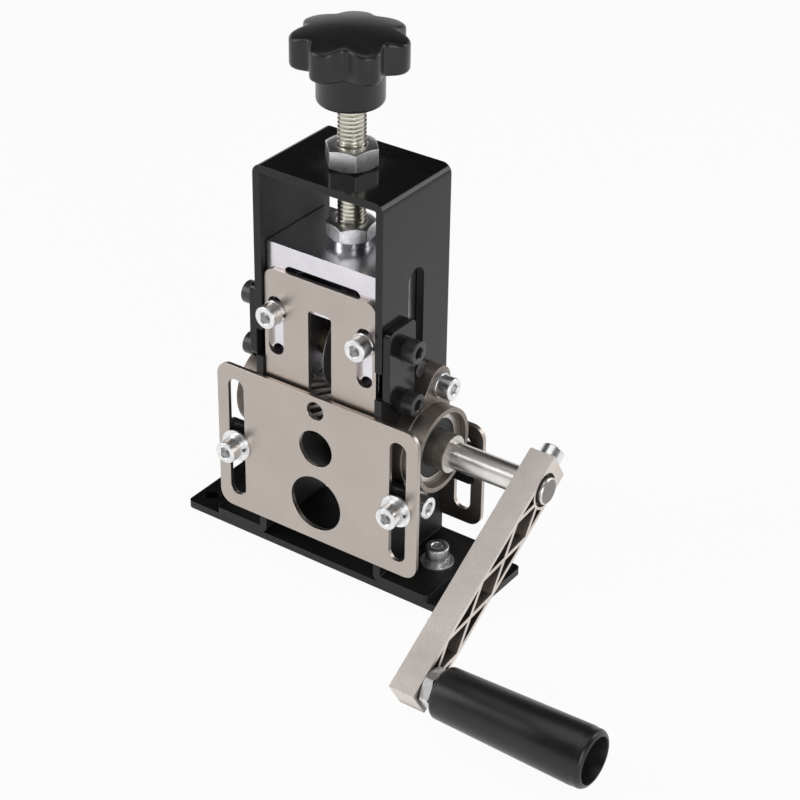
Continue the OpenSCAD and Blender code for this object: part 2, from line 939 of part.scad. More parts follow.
// A guide plate; a low one leaves its upper wire holes out, or open at its top edge
module guide_plate(height) {
    color([0.68, 0.65, 0.61])
        along_y(-guide_face_y, guide_t)
            difference() {
                translate([0, guide_z0 + height / 2])
                    rounded([guide_w, height], guide_corner_r);
                for (s = [-1, 1])
                    translate([s * guide_slot_x, guide_z0 + height / 2])
                        slot(height - 2 * guide_slot_margin, guide_slot_w);
                for (hole = wire_holes)
                    translate([0, guide_z0 + hole[0]])
                        circle(d = hole[1]);
            }
}

module guide_flat_washers() {
    color([0.75, 0.75, 0.73])
        guide_screw_places(guide_face_y)
            flat_washer();
}

module guide_spring_washers() {
    color([0.7, 0.7, 0.68])
        guide_screw_places(guide_face_y + flat_washer_t)
            spring_washer();
}

module guide_screws() {
    color([0.8, 0.8, 0.78])
        guide_screw_places(guide_face_y + flat_washer_t + spring_washer_t)
            cap_screw(guide_screw_len);
}

module front_guide_plate() {
    guide_plate(guide_h);
}

module front_flat_washers() {
    guide_flat_washers();
}

module front_spring_washers() {
    guide_spring_washers();
}

module front_guide_screws() {
    guide_screws();
}

module rear_guide_plate() {
    mirror([0, 1, 0])
        guide_plate(rear_guide_h);
}

module rear_flat_washers() {
    mirror([0, 1, 0])
        guide_flat_washers();
}

module rear_spring_washers() {
    mirror([0, 1, 0])
        guide_spring_washers();
}

module rear_guide_screws() {
    mirror([0, 1, 0])
        guide_screws();
}

// Slider block with the blade

// The two screws of the upper guide plate
module upper_screw_places(y, z) {
    for (s = [-1, 1])
        translate([s * upper_screw_x, y, z])
            rotate([90, 0, 0])
                children();
}

module slider_block() {
    pocket_depth = pocket_back_y - block_front_y;
    color([0.78, 0.78, 0.8])
        difference() {
            translate([-block_w / 2, block_front_y, block_z0])
                cube([block_w, block_d, block_h]);
            translate([-blade_slot_w / 2, block_front_y - cut, block_z0 - cut])
                cube([blade_slot_w, block_d + 2 * cut, blade_slot_top_z - block_z0 + cut]);
            translate([-block_w / 2 - cut, 0, blade_z])
                rotate([0, 90, 0])
                    cylinder(d = axle_d + 2 * thread_play, h = block_w + 2 * cut);
            along_y(block_front_y - cut, pocket_depth + cut)
                translate([0, pocket_top_z - pocket_h / 2])
                    rounded([pocket_w, pocket_h], pocket_r);
            translate([0, 0, pocket_top_z - cut])
                cylinder(d = stud_d + 2 * running_play, h = pocket_drop + 2 * cut);
            for (z = [upper_screw_z, upper_screw_z - block_thread_pitch])
                upper_screw_places(block_front_y + block_thread_depth, z)
                    cylinder(d = screw_hole_d, h = block_thread_depth + cut);
        }
}

module blade_axle() {
    color([0.5, 0.5, 0.5])
        translate([-axle_len / 2, 0, blade_z])
            rotate([0, 90, 0])
                cylinder(d = axle_d, h = axle_len);
}

module blade() {
    r = blade_d / 2;
    hole_r = bush_d / 2 + thread_play;
    edge = blade_t * screw_chamfer_share;
    color([0.35, 0.35, 0.36])
        translate([0, 0, blade_z])
            rotate([0, 90, 0])
                rotate_extrude()
                    polygon([[hole_r, -blade_t / 2], [r - blade_bevel, -blade_t / 2],
                        [r, -edge / 2], [r, edge / 2], [r - blade_bevel, blade_t / 2],
                        [hole_r, blade_t / 2]]);
}

module blade_bush() {
    width = blade_slot_w - 2 * side_play;
    color([0.7, 0.55, 0.3])
        translate([-width / 2, 0, blade_z])
            rotate([0, 90, 0])
                difference() {
                    cylinder(d = bush_d, h = width);
                    translate([0, 0, -cut])
                        cylinder(d = axle_d + 2 * running_play, h = width + 2 * cut);
                }
}

module upper_guide_plate() {
    fork_l = upper_h - fork_drop;
    fork_r = fork_w / 5;
    color([0.68, 0.65, 0.61])
        along_y(upper_front_y, guide_t)
            translate([0, upper_top_z])
                difference() {
                    translate([0, -upper_h / 2])
                        rounded([block_w, upper_h], upper_corner_r);
                    for (s = [-1, 1])
                        translate([s * upper_screw_x, -upper_slot_drop - upper_slot_l / 2])
                            slot(upper_slot_l, upper_slot_w);
                    translate([0, -upper_h])
                        rounded([fork_w, 2 * fork_l], fork_r);
                }
}

module upper_spring_washers() {
    color([0.7, 0.7, 0.68])
        upper_screw_places(upper_front_y, upper_screw_z)
            spring_washer();
}

module upper_screws() {
    color([0.8, 0.8, 0.78])
        upper_screw_places(upper_front_y - spring_washer_t, upper_screw_z)
            cap_screw(upper_screw_len);
}

// Adjusting screw

module adjusting_stud() {
    c = stud_d * screw_chamfer_share;
    r = stud_d / 2;
    z0 = pocket_nut_z0 - stud_tip;
    z1 = knob_z0 + knob_bore;
    color([0.75, 0.73, 0.62])
        rotate_extrude()
            polygon([[0, z0], [r - c, z0], [r, z0 + c], [r, z1 - c], [r - c, z1], [0, z1]]);
}

module top_nut() {
    color([0.8, 0.8, 0.78])
        translate([0, 0, frame_top_z])
            rotate(top_nut_turn)
                hex_nut(top_nut_af, top_nut_h, stud_d + 2 * running_play);
}

module lower_nut() {
    color([0.8, 0.8, 0.78])
        translate([0, 0, lower_nut_z0])
            rotate(lower_nut_turn)
                hex_nut(block_nut_af, lower_nut_h, stud_d + 2 * thread_play);
}

module thrust_collar() {
    color([0.72, 0.7, 0.66])
        translate([0, 0, block_top_z])
            difference() {
                cylinder(d = thrust_collar_d, h = thrust_collar_h);
                translate([0, 0, -cut])
                    cylinder(d = stud_d + 2 * thread_play, h = thrust_collar_h + 2 * cut);
            }
}

module pocket_nut() {
    color([0.8, 0.8, 0.78])
        translate([0, 0, pocket_nut_z0])
            rotate(lower_nut_turn)
                hex_nut(block_nut_af, pocket_nut_h, stud_d + 2 * thread_play);
}

// The knob's lobed outline
function lobe_r(a) =
    knob_d / 2 - knob_valley * pow((1 - cos(knob_lobes * a)) / 2, valley_share);

module knob_outline() {
    points = knob_lobes * lobe_points;
    polygon([for (i = [0:points - 1]) let (a = i * 360 / points) lobe_r(a) * [cos(a), sin(a)]]);
}

// What the lobed head may fill: cut off at a slant below, and domed above
module knob_envelope() {
    r = knob_d / 2;
    e = knob_edge;
    z0 = knob_h - knob_head_h;
    dome_r = (r * r + knob_dome * knob_dome) / (2 * knob_dome);
    a_end = asin((r + e) / dome_r);
    dome = [for (i = [edge_steps:-1:0]) let (a = a_end * i / edge_steps)
        [dome_r * sin(a), knob_h - dome_r * (1 - cos(a))]];
    rotate_extrude()
        polygon(concat([[0, z0], [r - e, z0], [r + e, z0 + 2 * e]], dome));
}

module knob() {
    hub_r = knob_hub_d / 2;
    e = knob_edge;
    hub_z1 = knob_h - knob_head_h + e;
    color([0.05, 0.05, 0.055])
        translate([0, 0, knob_z0])
            difference() {
                union() {
                    intersection() {
                        rotate(knob_turn)
                            linear_extrude(knob_h)
                                knob_outline();
                        knob_envelope();
                    }
                    rotate_extrude()
                        polygon([[0, 0], [hub_r - e, 0], [hub_r, e], [hub_r, hub_z1], [0, hub_z1]]);
                }
                translate([0, 0, -cut])
                    cylinder(d = stud_d + 2 * thread_play, h = knob_bore + cut);
            }
}

// Drive shaft, roller and crank

module drive_shaft() {
    c = shaft_d * screw_chamfer_share / 2;
    r = shaft_d / 2;
    color([0.66, 0.65, 0.63])
        on_shaft()
            rotate_extrude()
                polygon([[0, -shaft_left], [r - c, -shaft_left], [r, c - shaft_left],
                    [r, shaft_right - c], [r - c, shaft_right], [0, shaft_right]]);
}

// The two set screws in the roller's hub, pointing at the shaft
module roller_screw_places() {
    for (a = [180, 270])
        on_shaft(-roller_w / 2 - hub_w / 2)
            rotate([0, 0, a])
                rotate([0, 90, 0])
                    children();
}

module feed_roller() {
    c = flute_depth;
    r = roller_d / 2;
    half = roller_w / 2;
    side = flute_depth * sqrt(2);
    color([0.45, 0.44, 0.43])
        difference() {
            on_shaft()
                rotate_extrude()
                    polygon([[shaft_d / 2 + thread_play, -half - hub_w], [hub_d / 2, -half - hub_w],
                        [hub_d / 2, -half], [r - c, -half], [r, c - half], [r, half - c],
                        [r - c, half], [shaft_d / 2 + thread_play, half]]);
            for (i = [0:flutes - 1])
                translate([0, 0, shaft_z])
                    rotate([i * 360 / flutes, 0, 0])
                        translate([0, 0, r])
                            rotate([0, 0, flute_tilt])
                                rotate([45, 0, 0])
                                    cube([roller_w + 4 * c, side, side], center = true);
            roller_screw_places()
                cylinder(d = hub_screw_d + 2 * thread_play, h = hub_d);
        }
}

module roller_set_screws() {
    color([0.12, 0.12, 0.12])
        roller_screw_places()
            translate([0, 0, shaft_d / 2])
                set_screw(hub_screw_d, (hub_d - shaft_d) / 2);
}

// The recess of the arm between its rails, with the crossed ribs left standing
module arm_recess_outline() {
    half = (arm_h - arm_rail) / 2;
    s0 = crank_r * rib_start_share;
    step = crank_r * (rib_end_share - rib_start_share) / arm_cells;
    difference() {
        translate([0, arm_rail - arm_h / 2])
            square([crank_r, arm_h - 2 * arm_rail]);
        circle(arm_h / 2 + arm_rail / 2);
        translate([crank_r, 0])
            circle(arm_h / 2);
        for (i = [0:arm_cells - 1], side = [-1, 1]) {
            middle = [s0 + (i + 0.5) * step, side * half];
            bar([s0 + i * step, 0], middle, arm_rib);
            bar(middle, [s0 + (i + 1) * step, 0], arm_rib);
        }
    }
}

module crank_arm() {
    color([0.62, 0.59, 0.56])
        in_arm()
            difference() {
                translate([-arm_end_top, -arm_h / 2, 0])
                    cube([arm_end_top + crank_r + arm_end_low, arm_h, arm_t]);
                translate([0, 0, -cut])
                    linear_extrude(arm_recess + cut)
                        arm_recess_outline();
                translate([0, 0, -cut])
                    cylinder(d = shaft_d + 2 * thread_play, h = arm_t + 2 * cut);
                translate([0, 0, -cut])
                    cylinder(d = shaft_d + 2 * arm_groove_w, h = arm_groove + cut);
                translate([crank_r, 0, -cut])
                    cylinder(d = bolt_d + 2 * thread_play, h = arm_t + 2 * cut);
                translate([0, 0, arm_t / 2])
                    rotate([0, -90, 0])
                        cylinder(d = screw_hole_d, h = arm_end_top + cut);
            }
}

module crank_clamp_screw() {
    color([0.82, 0.82, 0.8])
        in_arm()
            translate([-arm_end_top, 0, arm_t / 2])
                rotate([0, -90, 0])
                    cap_screw(arm_end_top - shaft_d / 2 - thread_play);
}

// A turned piece on the handle's axis
module on_handle(x = 0) {
    translate([x, handle_y, handle_z])
        rotate([0, 90, 0])
            children();
}

module handle_bolt() {
    x0 = arm_out_x - arm_t + thread_play;
    socket_d = bolt_d * 3 / 4;
    color([0.7, 0.7, 0.7])
        difference() {
            union() {
                on_handle(x0)
                    cylinder(d = bolt_d, h = bolt_head_x - x0 + bolt_head_h / 2);
                on_handle(bolt_head_x)
                    cylinder(d = bolt_head_d, h = bolt_head_h);
            }
            on_handle(bolt_head_x + bolt_head_h / 2)
                hexagon(socket_d, bolt_head_h);
        }
}

module handle_nut() {
    color([0.8, 0.82, 0.84])
        on_handle(arm_out_x)
            rotate(crank_drop)
                hex_nut(handle_nut_af, handle_nut_h, bolt_d + 2 * thread_play);
}

module handle_grip() {
    r0 = grip_d0 / 2;
    r1 = grip_d1 / 2;
    e = grip_edge_r;
    hole_r = bolt_d / 2 + running_play;
    mouth_r = grip_mouth_d / 2;
    lip = (r1 - mouth_r) / 2;
    floor_x = grip_len - grip_mouth_depth;
    color([0.05, 0.05, 0.055])
        on_handle(grip_x0)
            rotate_extrude()
                polygon(concat([[hole_r, 0]], round_corner([r0 - e, e], e, -90, 0),
                    round_corner([r1 - lip, grip_len - lip], lip, 0, 90),
                    [[mouth_r, grip_len], [mouth_r, floor_x], [hole_r, floor_x]]));
}

base_plate();
frame();
foot_screws();
foot_spring_washers();
foot_flat_washers();
side_plate_left();
side_plate_right();
side_plate_screws();
bearing_housing_left();
bearing_housing_right();
bearing_outer_rings();
bearing_seals();
bearing_balls();
bearing_bolts();
bearing_bolt_washers();
top_nut();
front_guide_plate();
front_guide_screws();
front_spring_washers();
front_flat_washers();
rear_guide_plate();
rear_guide_screws();
rear_spring_washers();
rear_flat_washers();
slider_block();
blade_axle();
upper_screws();
upper_spring_washers();
upper_guide_plate();
blade();
blade_bush();
knob();
adjusting_stud();
lower_nut();
thrust_collar();
pocket_nut();
drive_shaft();
feed_roller();
roller_set_screws();
bearing_inner_rings();
bearing_set_screws();
crank_arm();
crank_clamp_screw();
handle_bolt();
handle_nut();
handle_grip();
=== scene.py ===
"""The looks of the hand crank wire stripper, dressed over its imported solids.

Everything is in metres, in the same frame as the solids: X along the drive shaft towards
the crank, Y the way the wire travels, Z up from the bench.
"""

import json
import math

import bmesh
import bpy
from mathutils import Matrix, Vector

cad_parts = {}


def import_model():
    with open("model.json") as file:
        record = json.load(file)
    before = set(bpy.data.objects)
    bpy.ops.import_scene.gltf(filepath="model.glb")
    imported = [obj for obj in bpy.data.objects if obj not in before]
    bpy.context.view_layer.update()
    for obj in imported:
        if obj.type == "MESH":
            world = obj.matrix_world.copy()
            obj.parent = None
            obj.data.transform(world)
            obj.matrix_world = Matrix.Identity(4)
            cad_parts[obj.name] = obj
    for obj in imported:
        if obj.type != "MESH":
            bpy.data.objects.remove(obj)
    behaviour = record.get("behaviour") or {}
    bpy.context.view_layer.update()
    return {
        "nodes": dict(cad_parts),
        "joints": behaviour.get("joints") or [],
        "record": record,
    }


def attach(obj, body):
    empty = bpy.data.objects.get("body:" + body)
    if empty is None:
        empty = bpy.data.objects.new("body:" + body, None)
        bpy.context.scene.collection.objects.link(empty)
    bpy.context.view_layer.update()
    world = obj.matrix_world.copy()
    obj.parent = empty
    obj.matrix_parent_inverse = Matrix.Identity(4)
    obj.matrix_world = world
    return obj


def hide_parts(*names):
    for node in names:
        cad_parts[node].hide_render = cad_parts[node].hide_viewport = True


MM = 0.001
TAU = math.tau

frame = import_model()
nodes = frame["nodes"]
record = frame["record"]
slot_of = {part["node"]: part["material_slot"] for part in record["subparts"]}
body_of = {node: body for body, names in record["behaviour"]["bodies"].items() for node in names}
joint_at = {joint["name"]: Vector(joint.get("pos_m", (0, 0, 0))) for joint in frame["joints"]}


# Materials

# Noise lies mostly between these two levels
NOISE_LOW, NOISE_HIGH = 0.3, 0.7
# Level of the grain at which its share of the colour is full
MOTTLE_HIGH = 0.75
# Worn edges follow the patches from this level on, and show at least this much
WEAR_LOW, WEAR_LEAST = 0.25, 0.25
# Level of the patches from which they roughen the surface
SMEAR_LOW = 0.35
# Cosine between a face and its rounded edge where wear begins, and where it is full
EDGE_BEGIN, EDGE_FULL = 0.995, 0.9
# How squarely a face looks along X where a bar's end begins, and where it is full
END_BEGIN, END_FULL = 0.9, 0.97
# How open the space over a face is where shelter begins, and where it is full
SHELTER_BEGIN, SHELTER_FULL = 0.72, 0.45
# How much rougher full shelter makes a face
SHELTER_ROUGH = 0.4
# Painted shade in recesses: how much of its dark colour a recess takes on, and that colour as a
# share of the shade
POCKET_SHADE_MOST, POCKET_SHADE_DARK = 0.85, 0.18


def grey(level):
    """An opaque grey of that brightness."""
    return (level, level, level, 1)


class Graph:
    """A new material's nodes, with a short call for each kind that is used here."""

    def __init__(self, name):
        self.material = bpy.data.materials.new(name)
        self.material.use_nodes = True
        self.tree = self.material.node_tree
        self.shader = self.tree.nodes["Principled BSDF"]

    def put(self, socket, value):
        """Links a socket to a value that is itself a socket, or else sets it."""
        if isinstance(value, bpy.types.NodeSocket):
            self.tree.links.new(value, socket)
        else:
            socket.default_value = value

    def node(self, kind, inputs=(), **settings):
        made = self.tree.nodes.new(kind)
        for name, value in settings.items():
            setattr(made, name, value)
        for key, value in dict(inputs).items():
            self.put(made.inputs[key], value)
        return made

    def noise(self, size, stretch=(1, 1, 1), detail=3.0, rough=0.55):
        """Noise whose features are about that size; stretch makes them longer along an axis."""
        place = self.node("ShaderNodeTexCoord").outputs["Object"]
        scale = [MM / size / s for s in stretch]
        mapped = self.node("ShaderNodeMapping", {"Vector": place, "Scale": scale}).outputs[0]
        inputs = {"Vector": mapped, "Scale": 1 / MM, "Detail": detail, "Roughness": rough}
        return self.node("ShaderNodeTexNoise", inputs).outputs["Fac"]

    def spread(self, value, low, high, to_low, to_high):
        """Maps low to to_low and high to to_high, and keeps within these."""
        inputs = {0: value, 1: low, 2: high, 3: to_low, 4: to_high}
        return self.node("ShaderNodeMapRange", inputs).outputs[0]

    def plus(self, a, b):
        return self.node("ShaderNodeMath", {0: a, 1: b}, operation="ADD").outputs[0]

    def times(self, a, b):
        return self.node("ShaderNodeMath", {0: a, 1: b}, operation="MULTIPLY").outputs[0]

    def mix(self, share, first, second):
        """Mixes two colours, each a socket or three numbers."""
        made = self.node("ShaderNodeMix", {0: share}, data_type="RGBA")
        for index, colour in ((6, first), (7, second)):
            if not isinstance(colour, bpy.types.NodeSocket):
                colour = (*colour, 1)
            self.put(made.inputs[index], colour)
        return made.outputs[2]

    def bump(self, height, depth):
        inputs = {"Height": height, "Distance": depth, "Strength": 1.0}
        return self.node("ShaderNodeBump", inputs).outputs["Normal"]

    def edges(self, width):
        """Nearly 1 along sharp edges, and 0 on flat faces."""
        rounded = self.node("ShaderNodeBevel", {"Radius": width}, samples=6).outputs[0]
        flat = self.node("ShaderNodeNewGeometry").outputs["Normal"]
        along = self.node("ShaderNodeVectorMath", {0: rounded, 1: flat}, operation="DOT_PRODUCT")
        return self.spread(along.outputs["Value"], EDGE_BEGIN, EDGE_FULL, 0.0, 1.0)

    def along_x(self):
        """1 on faces that look along X, and 0 on the others."""
        normal = self.node("ShaderNodeNewGeometry").outputs["Normal"]
        split = self.node("ShaderNodeSeparateXYZ", {0: normal}).outputs["X"]
        turn = self.node("ShaderNodeMath", {0: split}, operation="ABSOLUTE").outputs[0]
        return self.spread(turn, END_BEGIN, END_FULL, 0.0, 1.0)

    def sheltered(self, reach, most):
        """0 on faces that stand free, and up to most where other faces stand round them."""
        free = self.node("ShaderNodeAmbientOcclusion", {"Distance": reach}, samples=16)
        return self.spread(free.outputs["AO"], SHELTER_BEGIN, SHELTER_FULL, 0.0, most)


def finish(name, colour, shade, metallic, rough, patch=6 * MM, grain=0.5 * MM,
           stretch=(1, 1, 1), depth=0.01 * MM, mottle=0.0, edge=None, edge_width=0.35 * MM,
           shine=0.5, shelter=None, pocket_shade=None, ends=None):
    """A material whose colour drifts from colour to shade in patches and in its grain.

    rough is the lowest and highest roughness, patch and grain the sizes of the patches and
    of the grain, stretch what draws the grain out along an axis, depth its height, mottle
    its share in the colour, edge the colour of worn edges, and shine the level of the
    mirror light where it is no metal. With shelter, faces that others shelter within that
    reach are duller, and with pocket_shade, those within that reach are darker: painted
    shade in recesses. ends is the colour of the end faces of a bar along X.
    """
    graph = Graph(name)
    shader = graph.shader
    patches = graph.noise(patch, detail=4)
    fine = graph.noise(grain, stretch)
    tone = graph.mix(graph.spread(patches, NOISE_LOW, NOISE_HIGH, 0.0, 1.0), colour, shade)
    if mottle:
        tone = graph.mix(graph.spread(fine, NOISE_LOW, MOTTLE_HIGH, 0.0, mottle), tone, shade)
    if edge:
        worn = graph.times(graph.edges(edge_width),
                           graph.spread(patches, WEAR_LOW, NOISE_HIGH, WEAR_LEAST, 1.0))
        tone = graph.mix(worn, tone, edge)
    # Painted shade: faces that others shelter within the reach are darkened, as shade in recesses
    if pocket_shade:
        dark = [POCKET_SHADE_DARK * c for c in shade]
        tone = graph.mix(graph.sheltered(pocket_shade, POCKET_SHADE_MOST), tone, dark)
    # Faces that look along X take the darker ends colour
    if ends:
        tone = graph.mix(graph.along_x(), tone, ends)
    graph.put(shader.inputs["Base Color"], tone)
    shader.inputs["Metallic"].default_value = metallic
    middle = (rough[0] + rough[1]) / 2
    smooth = graph.spread(fine, NOISE_LOW, NOISE_HIGH, rough[0], middle)
    smeared = graph.spread(patches, SMEAR_LOW, NOISE_HIGH, 0.0, rough[1] - middle)
    total = graph.plus(smooth, smeared)
    if shelter:
        total = graph.plus(total, graph.sheltered(shelter, SHELTER_ROUGH))
    graph.put(shader.inputs["Roughness"], total)
    graph.put(shader.inputs["Normal"], graph.bump(fine, depth))
    shader.inputs["Specular IOR Level"].default_value = shine
    return graph.material


MATERIALS = {
    "black_paint": finish("black_paint", (0.007, 0.0066, 0.0065), (0.011, 0.0102, 0.010), 0.0,
                          (0.10, 0.17), patch=14 * MM, grain=1.6 * MM, depth=0.004 * MM,
                          edge=(0.045, 0.042, 0.04), shine=0.33, shelter=70 * MM),
    "black_oxide": finish("black_oxide", (0.042, 0.040, 0.041), (0.07, 0.066, 0.066), 0.4,
                          (0.28, 0.42), patch=3 * MM, grain=0.25 * MM, edge=(0.22, 0.21, 0.2)),
    "zinc": finish("zinc", (0.97, 0.96, 0.94), (0.70, 0.71, 0.73), 1.0, (0.24, 0.42),
                   patch=1.8 * MM, grain=0.35 * MM, depth=0.016 * MM, mottle=0.5),
    "cast_housing": finish("cast_housing", (0.33, 0.29, 0.26), (0.23, 0.20, 0.18), 0.9,
                           (0.38, 0.55), patch=5 * MM, grain=0.45 * MM, depth=0.05 * MM,
                           mottle=0.6, edge=(0.6, 0.56, 0.52), edge_width=0.5 * MM),
    "bearing_steel": finish("bearing_steel", (0.62, 0.595, 0.565), (0.53, 0.505, 0.475), 1.0,
                            (0.28, 0.38), patch=9 * MM, grain=0.2 * MM, stretch=(1, 14, 14),
                            depth=0.002 * MM, mottle=0.12, edge=(0.75, 0.7, 0.65)),
    "seal_rubber": finish("seal_rubber", (0.015, 0.015, 0.016), (0.03, 0.029, 0.03), 0.0,
                          (0.5, 0.65), patch=3 * MM, grain=0.3 * MM, depth=0.02 * MM),
    "nickel_plate": finish("nickel_plate", (0.51, 0.455, 0.42), (0.465, 0.415, 0.38), 1.0,
                           (0.30, 0.40), patch=22 * MM, grain=0.28 * MM, depth=0.006 * MM,
                           mottle=0.25, edge=(0.74, 0.69, 0.64), edge_width=0.3 * MM),
    "block_aluminium": finish("block_aluminium", (0.80, 0.775, 0.82), (0.70, 0.68, 0.73), 1.0,
                              (0.19, 0.30), patch=12 * MM, grain=0.22 * MM, stretch=(9, 9, 1.2),
                              depth=0.006 * MM, mottle=0.4, edge=(0.82, 0.81, 0.84)),
    "arm_aluminium": finish("arm_aluminium", (0.90, 0.82, 0.77), (0.62, 0.565, 0.525), 1.0,
                            (0.40, 0.52), patch=20 * MM, grain=0.42 * MM, depth=0.05 * MM,
                            mottle=0.95, edge=(0.74, 0.69, 0.65), edge_width=0.3 * MM,
                            # Painted shade in the arm's recesses, within 9 mm
                            pocket_shade=9 * MM),
    "shaft_steel": finish("shaft_steel", (0.84, 0.81, 0.78), (0.72, 0.695, 0.67), 1.0,
                          (0.26, 0.36), patch=8 * MM, grain=0.1 * MM, stretch=(1, 12, 12),
                          depth=0.003 * MM, mottle=0.25, edge=(0.8, 0.78, 0.75),
                          ends=(0.22, 0.20, 0.185)),
    "roller_steel": finish("roller_steel", (0.72, 0.69, 0.66), (0.46, 0.44, 0.42), 1.0,
                           (0.3, 0.45), patch=3 * MM, grain=0.2 * MM, depth=0.01 * MM,
                           mottle=0.4, edge=(0.95, 0.92, 0.88), edge_width=0.5 * MM),
    "blade_steel": finish("blade_steel", (0.38, 0.37, 0.375), (0.28, 0.27, 0.275), 1.0,
                          (0.3, 0.42), patch=6 * MM, grain=0.15 * MM, stretch=(12, 1, 12),
                          depth=0.006 * MM, mottle=0.4, edge=(0.6, 0.58, 0.56)),
    "bush_brass": finish("bush_brass", (0.20, 0.165, 0.11), (0.15, 0.125, 0.085), 1.0, (0.35, 0.5),
                         patch=3 * MM, grain=0.15 * MM, stretch=(1, 10, 10), mottle=0.3),
    "stud_steel": finish("stud_steel", (0.80, 0.785, 0.71), (0.70, 0.685, 0.62), 1.0, (0.22, 0.34),
                         patch=2 * MM, grain=0.2 * MM, depth=0.004 * MM, mottle=0.3),
    "black_plastic": finish("black_plastic", (0.012, 0.0115, 0.0115), (0.018, 0.017, 0.017), 0.0,
                            (0.28, 0.38), patch=10 * MM, grain=0.35 * MM, depth=0.012 * MM,
                            edge=(0.06, 0.057, 0.055), edge_width=0.4 * MM, shine=0.42),
}


# Shapes

# Points closer than this are one
MERGE = 0.0005 * MM
# Edges that turn more than this stay sharp, or are rounded
SHARP = math.radians(30)
# Faces that turn less than this are one flat face
FLAT = math.radians(0.6)
# Degrees from the middle of a hexagon's flat to its corner
CORNER = 30
# Where points lie on a flat, in degrees from its middle: closer together near its corners
FLAT_TURNS = (-CORNER, -29, -27.5, -25, -18, -9, 0, 9, 18, 25, 27.5, 29)
HEXAGON = [math.radians(2 * CORNER * k + turn) for k in range(6) for turn in FLAT_TURNS]
# How crisp a hexagon's corners are
CORNER_POWER = 90
# Where a thread's crest and root begin and end, as shares of its pitch
CREST_END, ROOT_START, ROOT_END = 0.14, 0.44, 0.70
# Depth of a thread as a share of its pitch
THREAD_DEPTH = 0.61


def circle(count):
    """That many angles, evenly spread over a full turn."""
    return [TAU * i / count for i in range(count)]


def hexagon(across):
    """The radius of a hexagon with slightly rounded corners, as a function of the angle."""

    def radius(angle):
        facing = [max(0.0, math.cos(angle - turn)) ** CORNER_POWER for turn in circle(6)]
        return across / 2 / sum(facing) ** (1 / CORNER_POWER)

    return radius


def at(value, angle):
    return value(angle) if callable(value) else value


def arc(radius, height, bend, start, end, steps=4):
    """Rings of a rounded edge: an arc round (radius, height), from start to end in degrees."""
    turns = [math.radians(start + (end - start) * i / steps) for i in range(steps + 1)]
    return [(radius + bend * math.cos(t), height + bend * math.sin(t)) for t in turns]


def round_edges(made, width):
    bevel = made.modifiers.new("edges", "BEVEL")
    bevel.width = width
    bevel.segments = 2
    bevel.limit_method = "ANGLE"
    bevel.angle_limit = SHARP
    bevel.harden_normals = True


class Shape:
    """Points and faces that become one piece."""

    def __init__(self):
        self.points = []
        self.faces = []

    def rows(self, rows, place, around=True, closed=False):
        """Adds a grid of points, row by row.

        around joins the two ends of each row, and closed the last row to the first.
        """
        start, width = len(self.points), len(rows[0])
        for row in rows:
            self.points += [place @ Vector(point) for point in row]
        for i in range(len(rows) if closed else len(rows) - 1):
            low, high = start + i * width, start + (i + 1) % len(rows) * width
            for j in range(width if around else width - 1):
                k = (j + 1) % width
                self.faces.append((low + j, low + k, high + k, high + j))
        if closed and not around:
            for end in (0, width - 1):
                self.faces.append([start + i * width + end for i in range(len(rows))])

    def turn(self, rings, place, angles, around=True, closed=False):
        """Adds rings about Z: (radius, height) or (radius, height, turn), where radius and
        height may be functions of the angle."""
        rows = []
        for radius, height, *turn in rings:
            twist = turn[0] if turn else 0.0
            rows.append([(at(radius, a) * math.cos(a + twist), at(radius, a) * math.sin(a + twist),
                          at(height, a)) for a in angles])
        self.rows(rows, place, around, closed)

    def thread(self, radius, pitch, length, place, steps=32):
        """Adds a thread from zero to length along Z, with both ends closed."""
        root = radius - THREAD_DEPTH * pitch
        profile = ((0, radius), (CREST_END, radius), (ROOT_START, root), (ROOT_END, root))
        rows = [[(0, 0, 0)] * (steps + 1)]
        for turn in range(-1, math.ceil(length / pitch)):
            for share, reach in profile:
                row = []
                for s in range(steps + 1):
                    height = (turn + share + s / steps) * pitch
                    r = reach if 0 < height < length else root
                    a = TAU * s / steps
                    row.append((r * math.cos(a), r * math.sin(a), min(max(height, 0), length)))
                rows.append(row)
        rows.append([(0, 0, length)] * (steps + 1))
        self.rows(rows, place, around=False)

    def piece(self, node, bevel):
        """Makes the object that stands for a CAD node and takes its body and material."""
        mesh = bpy.data.meshes.new(node)
        mesh.from_pydata(self.points, [], self.faces)
        clean = bmesh.new()
        clean.from_mesh(mesh)
        bmesh.ops.remove_doubles(clean, verts=clean.verts, dist=MERGE)
        bmesh.ops.dissolve_degenerate(clean, edges=clean.edges, dist=MERGE)
        bmesh.ops.recalc_face_normals(clean, faces=clean.faces)
        clean.to_mesh(mesh)
        clean.free()
        made = bpy.data.objects.new(f"{node}_piece", mesh)
        bpy.context.scene.collection.objects.link(made)
        mesh.materials.append(MATERIALS[slot_of[node]])
        mesh.shade_smooth()
        if bevel:
            round_edges(made, bevel)
        else:
            mesh.set_sharp_from_angle(angle=SHARP)
        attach(made, body_of[node])
        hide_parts(node)


def places(node, axis):
    """For each loose solid of a CAD node: the place of its end, with Z along the axis, and
    its size in that frame."""
    turn = Vector((0, 0, 1)).rotation_difference(Vector(axis)).to_matrix()
    solid = bmesh.new()
    solid.from_mesh(nodes[node].data)
    bmesh.ops.remove_doubles(solid, verts=solid.verts, dist=MERGE)
    seen, found = set(), []
    for first in solid.verts:
        if first in seen:
            continue
        seen.add(first)
        group, queue = [], [first]
        while queue:
            vert = queue.pop()
            group.append(turn.inverted() @ vert.co)
            for edge in vert.link_edges:
                other = edge.other_vert(vert)
                if other not in seen:
                    seen.add(other)
                    queue.append(other)
        low = Vector(min(p[k] for p in group) for k in range(3))
        high = Vector(max(p[k] for p in group) for k in range(3))
        foot = turn @ Vector(((low.x + high.x) / 2, (low.y + high.y) / 2, low.z))
        found.append((Matrix.Translation(foot) @ turn.to_4x4(), high - low))
    solid.free()
    return found


